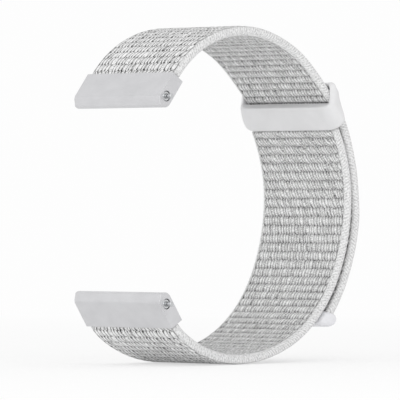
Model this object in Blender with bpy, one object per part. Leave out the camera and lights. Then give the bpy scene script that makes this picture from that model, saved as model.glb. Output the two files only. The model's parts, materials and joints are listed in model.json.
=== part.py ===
# Hook and loop watch strap, closed as if round a wrist.
# +X runs across the strap, +Y towards the back of the wrist, +Z up towards the upper end.
# The origin lies midway between the two spring bars. Lengths are in metres.

import bpy
import bmesh
from math import atan2, cos, pi, radians, sin, tan
from mathutils import Matrix, Vector

# Webbing
strap_width = 0.0220
strap_thickness = 0.0018
selvedge_segments = 4
webbing_step = 0.0020
tongue_inset = 0.0010
end_tongue_thickness = 0.0014
ring_tongue_thickness = 0.0010
tip_tongue_thickness = 0.0012

# Loop round the wrist, along the middle of the webbing's thickness
bar_spacing = 0.0386
loop_depth = 0.0527
loop_rise = 0.0320
loop_drop = 0.0301
upper_knot_shares = [(0.433, 1.0, 0.0), (0.687, 0.897, -26.5)]
lower_knot_shares = [
    (0.123, 0.874, -30.0),
    (0.410, 1.0, 1.0),
    (0.708, 0.874, 27.5),
    (0.937, 0.455, 64.5),
    (0.999, -0.010, 90.0),
]
curve_steps = 24

# Moulded end pieces
upper_end_angle = 49.9
lower_end_angle = 54.0
end_inset = 0.0001
end_front = 0.0013
end_slot_wall = 0.0004
bore_wall = 0.00065
slot_wall = 0.0007
end_rear_outer = 0.00455
end_rear_wrist = 0.00495
end_chamfer = 0.0003
end_edge = 0.00015
nose_radius = 0.00193
nose_setback = 0.0005
nose_segments = 7
webbing_offset = 0.00015

# Quick release spring bars
bar_radius = 0.0009
bar_wall = 0.00025
bar_inset = 0.0001
bar_lip = 0.0004
bar_sides = 20
tip_radius = 0.00045
tip_reach = 0.0012
shaft_gap = 0.00008
plug_length = 0.0018
wire_thickness = 0.00018
spring_pitch = 0.00062
spring_turns = 10
spring_points = 8
knob_radius = 0.0006
knob_stem = 0.00035
knob_height = 0.0007
knob_inset = 0.0028
knob_travel = 0.0015
notch_half_width = 0.0008
knob_sides = 14

# Ring that the upper strap passes through
ring_depth_share = 0.903
ring_height_share = 0.500
ring_angle = -60.0
sleeve_length = 0.0050
sleeve_wall = 0.0004
sleeve_cap = 0.0010
sleeve_chamfer_length = 0.0012
sleeve_chamfer_depth = 0.0006
ring_wall = 0.0010
wall_rim = 0.00015
wall_foot = 0.0008
wall_depth = 0.0022
ring_edge = 0.0003
wall_round = 0.0006
sleeve_round = 0.0004
round_segments = 3
crossing_before = 0.0046
crossing_offset = 0.00125
crossing_angle = 16.0
outer_bar_length = 0.0024
outer_bar_thickness = 0.0007

# Tail, hook pad and moulded tip
tail_length = 0.0385
tail_space = 0.00035
space_blend = 0.0070
pad_length = 0.0130
pad_setback = 0.0008
pad_end_space = 0.0020
pad_inset = 0.0020
pad_backing = 0.00025
hook_height = 0.00030
hook_width = 0.0009
hook_rows = 9
pad_seat = 0.0001
pad_clearance = 0.0002
tip_length = 0.0042
tip_height = 0.0047
tip_slot_depth = 0.0025
tip_clearance = 0.0003
tip_edge = 0.0004
tip_outline_shares = [
    (-0.29, 0.00),
    (0.83, 0.00),
    (1.00, 0.05),
    (0.86, 0.26),
    (0.67, 0.54),
    (0.49, 0.78),
    (0.29, 0.93),
    (0.05, 1.00),
    (-0.155, 0.96),
    (-0.26, 0.83),
    (-0.29, 0.66),
]

# Clearances
seat_gap = 0.0003
running_gap = 0.0001
lift_gap = 0.0007
overrun = 0.0040

# Sizes that follow
tongue_width = strap_width - 2 * tongue_inset
end_place = bar_spacing / 2
end_width = strap_width - 2 * end_inset
bore_radius = bar_radius + running_gap
end_outer = webbing_offset + end_tongue_thickness / 2 + seat_gap + end_slot_wall
end_wrist = bore_radius + bore_wall
end_slot_start = bore_radius + slot_wall
bar_length = end_width - 2 * bar_inset
bar_bore = bar_radius - bar_wall
tip_end = strap_width / 2 + tip_reach
shaft_radius = bar_bore - shaft_gap
spring_radius = bar_bore - running_gap - wire_thickness / 2
knob_place = bar_length / 2 - knob_inset
sleeve_thickness = ring_tongue_thickness + 2 * (seat_gap + sleeve_wall)
pad_width = strap_width - 2 * pad_inset
pad_space = pad_seat + pad_backing + hook_height + pad_clearance
tail_offset_at_ring = sleeve_thickness / 2 + seat_gap + strap_thickness / 2
tip_rear = tip_outline_shares[0][0] * tip_length
peel_length = pad_setback + pad_length + pad_end_space - tip_rear
window_half_width = strap_width / 2 + seat_gap
ring_half_width = window_half_width + ring_wall
tongue_half_slot = tongue_width / 2 + seat_gap


def clear_scene():
    for thing in list(bpy.data.objects):
        bpy.data.objects.remove(thing, do_unlink=True)


def new_material(name, colour, roughness, metallic):
    material = bpy.data.materials.new(name)
    material.use_nodes = True
    shader = material.node_tree.nodes["Principled BSDF"]
    shader.inputs["Base Color"].default_value = (*colour, 1.0)
    shader.inputs["Roughness"].default_value = roughness
    shader.inputs["Metallic"].default_value = metallic
    return material


def silver(name):
    return new_material(name, (0.70, 0.70, 0.71), 0.35, 0.9)


def steel(name):
    return new_material(name, (0.55, 0.56, 0.58), 0.25, 1.0)


def woven(name):
    return new_material(name, (0.60, 0.60, 0.60), 0.85, 0.0)


def pale_plastic(name):
    return new_material(name, (0.72, 0.72, 0.74), 0.45, 0.0)


def new_object(name, bm, material, frame=None):
    bmesh.ops.recalc_face_normals(bm, faces=bm.faces)
    mesh = bpy.data.meshes.new(name)
    bm.to_mesh(mesh)
    bm.free()
    thing = bpy.data.objects.new(name, mesh)
    bpy.context.scene.collection.objects.link(thing)
    if material:
        mesh.materials.append(material)
        mesh.shade_smooth()
        mesh.set_sharp_from_angle(angle=radians(30.0))
    if frame:
        thing.parent = frame
    return thing


def new_frame(name, matrix):
    frame = bpy.data.objects.new(name, None)
    frame.matrix_world = matrix
    frame.empty_display_size = strap_thickness
    bpy.context.scene.collection.objects.link(frame)
    return frame


def new_cutter(name, bm, frame):
    cutter = new_object(name, bm, None, frame)
    cutter.hide_render = True
    cutter.display_type = "WIRE"
    return cutter


def cut(thing, cutter):
    modifier = thing.modifiers.new(cutter.name, "BOOLEAN")
    modifier.operation = "DIFFERENCE"
    modifier.solver = "EXACT"
    modifier.object = cutter


def soften(thing, width, segments):
    modifier = thing.modifiers.new("soft edges", "BEVEL")
    modifier.width = width
    modifier.segments = segments
    modifier.limit_method = "ANGLE"
    modifier.angle_limit = radians(40.0)


# Shapes

def extruded(outline, left, right):
    bm = bmesh.new()
    ends = []
    for x in (left, right):
        ends.append([bm.verts.new((x, along, out)) for along, out in outline])
    count = len(outline)
    for i in range(count):
        j = (i + 1) % count
        bm.faces.new((ends[0][i], ends[0][j], ends[1][j], ends[1][i]))
    bm.faces.new(ends[0])
    bm.faces.new(ends[1])
    return bm


def boxed(left, right, back, front, low, high):
    outline = [(back, low), (front, low), (front, high), (back, high)]
    return extruded(outline, left, right)


def rounded(corners):
    # Each corner is a point with the radius of the arc that replaces it.
    outline = []
    for i, (corner, radius) in enumerate(corners):
        if not radius:
            outline.append(tuple(corner))
            continue
        before = (Vector(corners[i - 1][0]) - Vector(corner)).normalized()
        after = (Vector(corners[(i + 1) % len(corners)][0]) - Vector(corner)).normalized()
        half_turn = before.angle(after) / 2
        middle = Vector(corner) + (before + after).normalized() * radius / sin(half_turn)
        start = Vector(corner) + before * radius / tan(half_turn) - middle
        finish = Vector(corner) + after * radius / tan(half_turn) - middle
        for k in range(round_segments + 1):
            share = k / round_segments
            spoke = start.normalized().slerp(finish.normalized(), share)
            outline.append(tuple(middle + spoke * radius))
    return outline


def turned(profile, sides, hollow=False):
    # The profile holds places along X with a radius, and turns about X.
    bm = bmesh.new()
    rings = []
    for x, radius in profile:
        if radius:
            turns = [2 * pi * i / sides for i in range(sides)]
            rings.append([bm.verts.new((x, radius * cos(a), radius * sin(a))) for a in turns])
        else:
            rings.append([bm.verts.new((x, 0.0, 0.0))])
    pairs = list(zip(rings[:-1], rings[1:]))
    if hollow:
        pairs.append((rings[-1], rings[0]))
    for one, two in pairs:
        for i in range(sides):
            j = (i + 1) % sides
            corners = [one[i % len(one)], one[j % len(one)], two[j % len(two)], two[i % len(two)]]
            bm.faces.new(list(dict.fromkeys(corners)))
    return bm


def swept(line, side, stations, section_at):
    # Each station is a length along the line with a width and a thickness.
    bm = bmesh.new()
    rings = []
    for length, width, thickness in stations:
        middle, heading = place_on(line, length)
        out = outward(heading, side)
        ring = []
        for x, height in section_at(width, thickness):
            point = middle + out * height
            ring.append(bm.verts.new((x, point.x, point.y)))
        rings.append(ring)
    count = len(rings[0])
    for one, two in zip(rings[:-1], rings[1:]):
        for i in range(count):
            j = (i + 1) % count
            bm.faces.new((one[i], one[j], two[j], two[i]))
    bm.faces.new(rings[0])
    bm.faces.new(rings[-1])
    return bm


def webbing_section(width, thickness):
    # Flat faces with a half round selvedge at each side.
    radius = thickness / 2
    points = []
    for side in (1, -1):
        for i in range(selvedge_segments + 1):
            turn = pi * i / selvedge_segments - pi / 2
            x = side * (width / 2 - radius + radius * cos(turn))
            points.append((x, side * radius * sin(turn)))
    return points


def pad_section(width, thickness):
    # A backing under the webbing's wrist face, with rows of hooks below it.
    top = -strap_thickness / 2 - pad_seat
    root = top - pad_backing
    points = [(-width / 2, top)]
    pitch = (width - hook_width) / (hook_rows - 1)
    for i in range(hook_rows):
        left = -width / 2 + i * pitch
        if i:
            points.append((left, root))
        points.append((left, root - thickness))
        points.append((left + hook_width, root - thickness))
        if i < hook_rows - 1:
            points.append((left + hook_width, root))
    points.append((width / 2, top))
    return points


# Lines along the webbing

def direction(heading):
    return Vector((cos(heading), sin(heading)))


def outward(heading, side):
    return Vector((-sin(heading), cos(heading))) * side


def bezier(start, end):
    # The handles are those of a round arc that turns as far as this stretch does.
    (first, from_heading), (last, to_heading) = start, end
    chord = (last - first).length
    turn = abs(to_heading - from_heading)
    handle = chord / 3
    if turn > radians(0.1):
        handle = chord * 2 / 3 * tan(turn / 4) / sin(turn / 2)
    near = first + direction(from_heading) * handle
    far = last - direction(to_heading) * handle
    points = []
    for i in range(curve_steps):
        t = i / curve_steps
        u = 1 - t
        points.append(first * u**3 + near * 3 * u * u * t + far * 3 * u * t * t + last * t**3)
    return points


def through(knots):
    points = []
    for start, end in zip(knots[:-1], knots[1:]):
        points.extend(bezier(start, end))
    points.append(knots[-1][0])
    return points


def measured(points):
    line = [(0.0, points[0])]
    for point in points[1:]:
        step = (point - line[-1][1]).length
        if step > 0:
            line.append((line[-1][0] + step, point))
    return line


def point_on(line, length):
    first = line[0]
    for second in line[1:-1]:
        if second[0] >= length:
            break
        first = second
    else:
        second = line[-1]
    share = (length - first[0]) / (second[0] - first[0])
    return first[1] + (second[1] - first[1]) * share


def place_on(line, length):
    reach = strap_thickness / 4
    ahead = point_on(line, length + reach)
    behind = point_on(line, length - reach)
    return point_on(line, length), atan2(ahead.y - behind.y, ahead.x - behind.x)


def length_to(line, point):
    return min(line, key=lambda entry: (entry[1] - point).length)[0]


def even_stations(start, end, width, thickness):
    count = max(2, round((end - start) / webbing_step) + 1)
    return [(start + (end - start) * i / (count - 1), width, thickness) for i in range(count)]


def ease(value):
    value = min(1.0, max(0.0, value))
    return value * value * (3 - 2 * value)


# Frames of the pieces, seen from the side as along and out

def end_point(place, angle, along, out, side):
    heading = radians(angle) * side
    return Vector((0.0, place * side)) + direction(heading) * along + outward(heading, side) * out


ring_heading = radians(ring_angle)
ring_middle = Vector((ring_depth_share * loop_depth, ring_height_share * loop_rise))


def ring_point(along, out):
    return ring_middle + direction(ring_heading) * along + outward(ring_heading, 1) * out


def upper_centreline():
    # From inside the upper end piece, over the wrist and through the ring.
    heading = radians(upper_end_angle)
    inside = end_slot_start + seat_gap
    start = end_point(end_place, upper_end_angle, inside, webbing_offset, 1)
    leave = end_point(end_place, upper_end_angle, end_rear_wrist, webbing_offset, 1)
    knots = [(leave, heading)]
    for depth_share, rise_share, knot_angle in upper_knot_shares:
        place = Vector((depth_share * loop_depth, rise_share * loop_rise))
        knots.append((place, radians(knot_angle)))
    crossing = ring_point(-crossing_before, crossing_offset)
    knots.append((crossing, ring_heading + radians(crossing_angle)))
    knots.append((ring_point(0.0, tail_offset_at_ring), ring_heading))
    return [start] + through(knots), crossing


def lower_centreline():
    # From inside the lower end piece, under the wrist and up into the ring's sleeve.
    heading = radians(-lower_end_angle)
    inside = end_slot_start + seat_gap
    start = end_point(end_place, lower_end_angle, inside, webbing_offset, -1)
    leave = end_point(end_place, lower_end_angle, end_rear_wrist, webbing_offset, -1)
    knots = [(leave, heading)]
    for depth_share, drop_share, knot_angle in lower_knot_shares:
        place = Vector((depth_share * loop_depth, -drop_share * loop_drop))
        knots.append((place, radians(knot_angle)))
    knots.append((ring_point(sleeve_length / 2, 0.0), ring_heading + pi))
    knots.append((ring_point(-sleeve_length / 2, 0.0), ring_heading + pi))
    return [start] + through(knots)


def tail_offset(below_ring):
    # Distance between the middles of the tail and of the lower strap under it.
    at_tail = strap_thickness + tail_space
    at_pad = strap_thickness + pad_space
    near = ease((below_ring - sleeve_length / 2) / space_blend)
    far = ease((below_ring - tail_length + peel_length + space_blend) / space_blend)
    return tail_offset_at_ring + (at_tail - tail_offset_at_ring) * near + (at_pad - at_tail) * far


def tail_centreline(lower_line, sleeve_place):
    points = []
    steps = round(tail_length / webbing_step) * 2
    for i in range(1, steps + 1):
        below_ring = tail_length * i / steps
        middle, heading = place_on(lower_line, sleeve_place - below_ring)
        points.append(middle + outward(heading, -1) * tail_offset(below_ring))
    last = points[-1] - points[-2]
    points.append(points[-1] + last.normalized() * tip_slot_depth)
    return points


# Pieces

def end_outline():
    corner = Vector((-end_front, end_outer))
    nose_middle = Vector((-nose_setback, nose_radius - end_wrist))
    nose = []
    for i in range(nose_segments + 1):
        turn = pi + pi / 2 * i / nose_segments
        nose.append(tuple(nose_middle + direction(turn) * nose_radius))
    front = (Vector(nose[0]) - corner).normalized()
    outline = [tuple(corner + Vector((end_chamfer, 0.0)))]
    outline.append(tuple(corner + front * end_chamfer))
    outline.extend(nose)
    outline.append((end_rear_wrist, -end_wrist))
    outline.append((end_rear_outer, end_outer))
    return outline


def make_end_piece(prefix, frame):
    half = end_width / 2
    body = new_object(prefix + "_end_piece", extruded(end_outline(), -half, half),
                      silver(prefix + " end piece"), frame)
    soften(body, end_edge, 1)

    bore = [(-half - overrun, 0.0), (-half - overrun, bore_radius),
            (half + overrun, bore_radius), (half + overrun, 0.0)]
    cut(body, new_cutter(prefix + "_end_bore", turned(bore, bar_sides), frame))

    slot_half = end_tongue_thickness / 2 + seat_gap
    slot = boxed(-tongue_half_slot, tongue_half_slot, end_slot_start, end_rear_wrist + overrun,
                 webbing_offset - slot_half, webbing_offset + slot_half)
    cut(body, new_cutter(prefix + "_end_slot", slot, frame))

    notch_left = knob_place - knob_travel - knob_radius - seat_gap
    notch_right = knob_place + knob_radius + seat_gap
    notch = boxed(notch_left, notch_right, -notch_half_width, notch_half_width,
                  -end_wrist - overrun, -bar_radius / 2)
    cut(body, new_cutter(prefix + "_end_notch", notch, frame))
    return body


def make_bar_tube(prefix, frame):
    half = bar_length / 2
    mouth = tip_radius + running_gap / 2
    cavity = half - bar_lip
    profile = [(-half, bar_radius), (half, bar_radius), (half, mouth), (cavity, mouth),
               (cavity, bar_bore), (-cavity, bar_bore), (-cavity, mouth), (-half, mouth)]
    tube = new_object(prefix + "_bar_tube", turned(profile, bar_sides, hollow=True),
                      steel(prefix + " bar tube"), frame)
    slot_left = knob_place - knob_travel - knob_stem - running_gap
    slot_right = knob_place + knob_stem + running_gap
    slot_half = knob_stem + running_gap
    slot = boxed(slot_left, slot_right, -slot_half, slot_half, -bar_radius - overrun, -bar_bore / 2)
    cut(tube, new_cutter(prefix + "_bar_slot", slot, frame))
    return tube


def make_bar_inside(prefix, frame):
    shoulder = bar_length / 2 - bar_lip - running_gap / 2
    plug_end = -shoulder + plug_length
    fixed = [(-tip_end, 0.0), (-tip_end, tip_radius), (-shoulder, tip_radius),
             (-shoulder, shaft_radius), (plug_end, shaft_radius), (plug_end, 0.0)]
    new_object(prefix + "_bar_fixed_tip", turned(fixed, bar_sides),
               steel(prefix + " fixed tip"), frame)

    coil_start = plug_end + running_gap + wire_thickness / 2
    coil_end = coil_start + spring_turns * spring_pitch
    make_spring(prefix, frame, coil_start, coil_end)

    shaft_start = coil_end + wire_thickness / 2 + running_gap
    plunger = [(shaft_start, 0.0), (shaft_start, shaft_radius), (shoulder, shaft_radius),
               (shoulder, tip_radius), (tip_end, tip_radius), (tip_end, 0.0)]
    new_object(prefix + "_bar_plunger", turned(plunger, bar_sides),
               steel(prefix + " plunger"), frame)

    head = end_wrist + seat_gap
    stem_start = shaft_radius + running_gap / 2
    stem = [(stem_start, 0.0), (stem_start, knob_stem), (head, knob_stem), (head, knob_radius),
            (head + knob_height, knob_radius), (head + knob_height, 0.0)]
    knob = turned(stem, knob_sides)
    aim = Matrix.Translation((knob_place, 0.0, 0.0)) @ Matrix.Rotation(pi / 2, 4, "Y")
    bmesh.ops.transform(knob, matrix=aim, verts=knob.verts)
    new_object(prefix + "_bar_knob", knob, steel(prefix + " knob"), frame)


def make_spring(prefix, frame, start, end):
    count = spring_turns * spring_points
    points = []
    for i in range(count + 1):
        turn = 2 * pi * i / spring_points
        x = start + (end - start) * i / count
        points.append(Vector((x, spring_radius * cos(turn), spring_radius * sin(turn))))
    curve = bpy.data.curves.new(prefix + "_bar_spring", "CURVE")
    curve.dimensions = "3D"
    curve.bevel_depth = wire_thickness / 2
    curve.bevel_resolution = 1
    curve.use_fill_caps = True
    spline = curve.splines.new("POLY")
    spline.points.add(count)
    for spot, point in zip(spline.points, points):
        spot.co = (*point, 1.0)
    curve.materials.append(steel(prefix + " spring"))
    spring = bpy.data.objects.new(prefix + "_bar_spring", curve)
    bpy.context.scene.collection.objects.link(spring)
    spring.parent = frame
    apart = spring_points // 2 + 1
    gap = min((points[i] - points[j]).length
              for i in range(count + 1) for j in range(i + apart, count + 1))
    print(prefix, "spring's least gap to itself, mm:", round((gap - wire_thickness) * 1000, 3))


def bar_corner(along, out):
    # A corner of the outer bar, in the ring's own along and out.
    slope = radians(crossing_angle)
    crossing = Vector((-crossing_before, crossing_offset))
    return crossing + direction(slope) * along + outward(slope, 1) * out


def make_ring(frame):
    half = sleeve_length / 2
    face = sleeve_thickness / 2
    bar_half = outer_bar_length / 2
    bar_inner = strap_thickness / 2 + seat_gap
    bar_outer = bar_inner + outer_bar_thickness
    corners = [
        ((half, -face), sleeve_round),
        ((half, face + wall_rim), sleeve_round),
        ((-wall_foot, face + wall_rim), 0.0),
        (bar_corner(bar_half, bar_outer), wall_round),
        (bar_corner(-bar_half, bar_outer), wall_round),
        (bar_corner(-bar_half, bar_outer - wall_depth), wall_round),
        ((-half, -face), sleeve_round),
    ]
    block = extruded(rounded(corners), -ring_half_width, ring_half_width)
    ring = new_object("buckle_ring", block, silver("buckle ring"), frame)
    soften(ring, ring_edge, 2)

    past_bar = bar_corner(-bar_half - overrun, bar_inner)
    window = [
        (past_bar.x, -face - overrun),
        (-half, -face - overrun),
        (-half, face - sleeve_chamfer_depth),
        (-half + sleeve_chamfer_length, face),
        (half + overrun, face),
        (half + overrun, face + overrun),
        tuple(bar_corner(bar_half, bar_outer + overrun)),
        tuple(bar_corner(bar_half, bar_inner)),
        tuple(past_bar),
    ]
    cut(ring, new_cutter("ring_window", extruded(window, -window_half_width, window_half_width), frame))

    slot_half = ring_tongue_thickness / 2 + seat_gap
    slot = boxed(-tongue_half_slot, tongue_half_slot, -half + sleeve_cap, half + overrun,
                 -slot_half, slot_half)
    cut(ring, new_cutter("ring_slot", slot, frame))


def make_strap(name, line, side, stations, frame=None):
    bm = swept(line, side, stations, webbing_section)
    if frame:
        bmesh.ops.transform(bm, matrix=frame.matrix_world.inverted(), verts=bm.verts)
    return new_object(name, bm, woven(name.replace("_", " ")), frame)


def make_lower_strap(line, sleeve_place):
    exit_place = end_rear_wrist - end_slot_start - seat_gap
    body_start = exit_place + seat_gap
    body_end = sleeve_place - sleeve_length / 2 - seat_gap
    tongue_end = sleeve_place + sleeve_length / 2 - sleeve_cap - seat_gap
    stations = even_stations(0.0, exit_place, tongue_width, end_tongue_thickness)
    stations += even_stations(body_start, body_end, strap_width, strap_thickness)
    stations += even_stations(body_end + seat_gap, tongue_end, tongue_width, ring_tongue_thickness)
    make_strap("lower_strap", line, -1, stations)


def make_upper_strap(line, split):
    exit_place = end_rear_wrist - end_slot_start - seat_gap
    stations = even_stations(0.0, exit_place, tongue_width, end_tongue_thickness)
    stations += even_stations(exit_place + seat_gap, split - seat_gap / 2, strap_width, strap_thickness)
    make_strap("upper_strap", line, 1, stations)


def make_tail(line, split, peel, tip_place):
    lift_frame = hinge_frame("tail_lift_axis", line, split)
    stations = even_stations(split + seat_gap / 2, peel - seat_gap / 2, strap_width, strap_thickness)
    make_strap("tail_strap", line, 1, stations, lift_frame)

    peel_frame = hinge_frame("tail_peel_axis", line, peel)
    rear = tip_place + tip_rear
    tongue_end = rear + tip_slot_depth - seat_gap
    stations = even_stations(peel + seat_gap / 2, rear - seat_gap, strap_width, strap_thickness)
    stations += even_stations(rear, tongue_end, tongue_width, tip_tongue_thickness)
    make_strap("tail_end_strap", line, 1, stations, peel_frame)

    pad_start = peel + pad_setback
    stations = even_stations(pad_start, pad_start + pad_length, pad_width, hook_height)
    pad = swept(line, 1, stations, pad_section)
    bmesh.ops.transform(pad, matrix=peel_frame.matrix_world.inverted(), verts=pad.verts)
    new_object("hook_pad", pad, new_material("hook pad", (0.50, 0.50, 0.51), 0.8, 0.0), peel_frame)
    make_tip(line, tip_place, peel_frame)


def hinge_frame(name, line, length):
    middle, heading = place_on(line, length)
    hinge = middle + outward(heading, 1) * strap_thickness / 2
    print(name, "at mm", round(hinge.x * 1000, 4), round(hinge.y * 1000, 4))
    return new_frame(name, Matrix.Translation((0.0, hinge.x, hinge.y)))


def make_tip(line, tip_place, frame):
    middle, heading = place_on(line, tip_place)
    inner = -strap_thickness / 2 - pad_space + tip_clearance
    outline = [(along * tip_length, inner + out * tip_height) for along, out in tip_outline_shares]
    aim = Matrix.Translation((0.0, middle.x, middle.y)) @ Matrix.Rotation(heading, 4, "X")
    aim = frame.matrix_world.inverted() @ aim
    body = extruded(outline, -strap_width / 2, strap_width / 2)
    bmesh.ops.transform(body, matrix=aim, verts=body.verts)
    tip = new_object("tail_tip", body, pale_plastic("tail tip"), frame)
    soften(tip, tip_edge, 2)

    slot_half = tip_tongue_thickness / 2 + seat_gap
    slot = boxed(-tongue_half_slot, tongue_half_slot, tip_rear - overrun, tip_rear + tip_slot_depth,
                 -slot_half, slot_half)
    bmesh.ops.transform(slot, matrix=aim, verts=slot.verts)
    cut(tip, new_cutter("tip_slot", slot, frame))


def make_end(prefix, angle, side):
    turn = Matrix.Rotation(radians(angle), 4, "X")
    if side < 0:
        turn = Matrix.Rotation(pi, 4, "Y") @ turn
    frame = new_frame(prefix + "_bar_axis", Matrix.Translation((0.0, 0.0, side * end_place)) @ turn)
    make_end_piece(prefix, frame)
    make_bar_tube(prefix, frame)
    make_bar_inside(prefix, frame)


def make_watch_strap():
    clear_scene()
    make_end("upper", upper_end_angle, 1)
    make_end("lower", lower_end_angle, -1)

    ring_turn = Matrix.Rotation(ring_heading, 4, "X")
    ring_place = Matrix.Translation((0.0, ring_middle.x, ring_middle.y))
    make_ring(new_frame("ring_frame", ring_place @ ring_turn))

    lower_line = measured(lower_centreline())
    sleeve_place = lower_line[-1][0] - sleeve_length / 2
    make_lower_strap(lower_line, sleeve_place)

    upper_points, crossing = upper_centreline()
    upper_points += tail_centreline(lower_line, sleeve_place)
    upper_line = measured(upper_points)
    split = length_to(upper_line, crossing) + outer_bar_length / 2 + lift_gap
    tip_place = upper_line[-1][0] - tip_slot_depth
    peel = tip_place - peel_length
    make_upper_strap(upper_line, split)
    make_tail(upper_line, split, peel, tip_place)


make_watch_strap()
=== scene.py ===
# Hook and loop watch strap: ribbed woven webbing closed round an open wrist space,
# with satin end pieces, a moulded ring, a hook pad and a moulded tip.
# Side views are worked in (Y, Z) pairs: along the loop and out of it. Lengths are in metres.

import json
from bisect import bisect_left
from math import atan2, cos, pi, radians, sin, tan

import bmesh
import bpy
from mathutils import Matrix, Vector, noise


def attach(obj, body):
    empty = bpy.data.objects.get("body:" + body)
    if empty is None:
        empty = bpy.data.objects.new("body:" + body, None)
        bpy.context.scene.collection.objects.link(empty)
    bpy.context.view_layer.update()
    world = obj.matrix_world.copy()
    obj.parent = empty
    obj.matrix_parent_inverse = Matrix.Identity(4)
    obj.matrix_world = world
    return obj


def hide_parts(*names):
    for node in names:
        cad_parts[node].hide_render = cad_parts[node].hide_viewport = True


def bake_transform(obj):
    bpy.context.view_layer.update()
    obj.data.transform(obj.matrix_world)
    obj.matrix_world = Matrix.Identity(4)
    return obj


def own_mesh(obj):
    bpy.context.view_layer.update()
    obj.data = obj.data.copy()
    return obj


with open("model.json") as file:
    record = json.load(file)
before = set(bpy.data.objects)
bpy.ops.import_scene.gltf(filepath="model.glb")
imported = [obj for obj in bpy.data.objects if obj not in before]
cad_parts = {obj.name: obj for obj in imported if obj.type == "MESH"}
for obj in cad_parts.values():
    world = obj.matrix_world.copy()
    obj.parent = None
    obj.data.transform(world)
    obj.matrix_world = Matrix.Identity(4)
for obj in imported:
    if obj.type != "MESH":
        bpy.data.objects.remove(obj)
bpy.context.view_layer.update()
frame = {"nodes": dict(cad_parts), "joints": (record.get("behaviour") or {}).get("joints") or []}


print("frame loaded", len(frame["nodes"]), "nodes")


# Colours and shader nodes

def hexColour(text):
    channels = []
    for start in (1, 3, 5):
        value = int(text[start:start + 2], 16) / 255
        channels.append(value / 12.92 if value <= 0.04045 else ((value + 0.055) / 1.055) ** 2.4)
    return (*channels, 1.0)


def findNode(tree, kind):
    return next(node for node in tree.nodes if node.type == kind)


def newMaterial(name):
    material = bpy.data.materials.new(name)
    material.use_nodes = True
    return material, material.node_tree, findNode(material.node_tree, "BSDF_PRINCIPLED")


def setInputs(tree, node, inputs):
    # An input is a number, a colour or another node's output, given in order or by name.
    for key, value in inputs.items() if isinstance(inputs, dict) else enumerate(inputs):
        if isinstance(value, bpy.types.NodeSocket):
            tree.links.new(value, node.inputs[key])
        else:
            node.inputs[key].default_value = value


def addNode(tree, kind, inputs=(), output=0, stops=(), **settings):
    node = tree.nodes.new("ShaderNode" + kind)
    for key, value in settings.items():
        setattr(node, key, value)
    setInputs(tree, node, inputs)
    for index, (place, colour) in enumerate(stops):
        elements = node.color_ramp.elements
        element = elements[index] if index < 2 else elements.new(place)
        element.position = place
        element.color = hexColour(colour)
    return node.outputs[output]


# Lines of the strap in the side view

loop = {
    "barSpacing": 0.0386,
    "depth": 0.0527,
    "rise": 0.0320,
    "drop": 0.0301,
    # shares of the depth and of the rise or drop, and the heading there in degrees
    "upperKnots": [(0.433, 1.0, 0.0), (0.687, 0.897, -26.5)],
    "lowerKnots": [(0.123, 0.874, -30.0), (0.410, 1.0, 1.0), (0.708, 0.874, 27.5),
                   (0.937, 0.455, 64.5), (0.999, -0.010, 90.0)],
    "curveSteps": 48,
}

endPiece = {
    "upperAngle": 49.9,
    "lowerAngle": 54.0,
    "halfWidth": 0.0109,
    "front": 0.0013,
    "outer": 0.00155,
    "wrist": 0.00165,
    "rearOuter": 0.00455,
    "rearWrist": 0.00495,
    "chamfer": 0.0003,
    "noseRadius": 0.00193,
    "noseSetback": 0.0005,
    "noseSteps": 16,
    "slotStart": 0.0017,
    "webbingOffset": 0.00015,
    "bore": 0.0010,
    "notch": (0.0056, 0.0089),    # place across of the notch that the release knob slides in
    "notchHalf": 0.0008,
    "notchTop": -0.00045,
    "past": {"slot": 0.009, "bore": 0.020, "notch": -0.006},    # where the cutters end, outside it
    "edge": 0.00022,
}

ring = {
    "depthShare": 0.903,      # where its middle is, of the loop's depth and rise
    "heightShare": 0.500,
    "angle": -60.0,
    "length": 0.0050,
    "thickness": 0.0024,
    "halfWidth": 0.0123,
    "windowHalf": 0.01105,
    "rim": 0.00015,
    "footCorner": (-0.0008, 0.0021),
    "ledge": 0.0003,          # the visible end of the bar stands this much higher
    "ledgeOuter": 0.00065,
    "ledgeSlope": 0.0013,
    "windowRound": 0.0011,
    "underBarRound": 0.0008,
    "wallSlope": 0.68,        # how fast the walls' wrist edge leaves the wrist above the bar
    "flare": 0.0008,          # how much wider the bar's foot is than the walls' top, on each side
    "flareStart": 0.0010,     # above the bar
    "flareReach": 0.0040,
    "flareInside": 0.35,      # the share of the flare that draws the walls' top in
    "crownStart": 0.0094,
    "crownDepth": 0.0012,
    "mouthRound": 0.0008,
    "wristCorners": [(-0.0060, 0.0013), (-0.0044, 0.0005), (-0.0031, -0.0005)],
    "endRound": 0.0010,
    "crossingBefore": 0.0046,     # where the tail crosses under the thin bar, from the middle
    "crossingOffset": 0.00125,
    "crossingAngle": 16.0,
    "barLength": 0.0024,
    "barThickness": 0.0007,
    "slotStart": 0.0010,      # the sleeve's closed end
    "voxel": 0.00012,
    "softening": 60,          # rounds of smoothing, and those after the window is cut
    "lastSoftening": 14,
}

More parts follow.
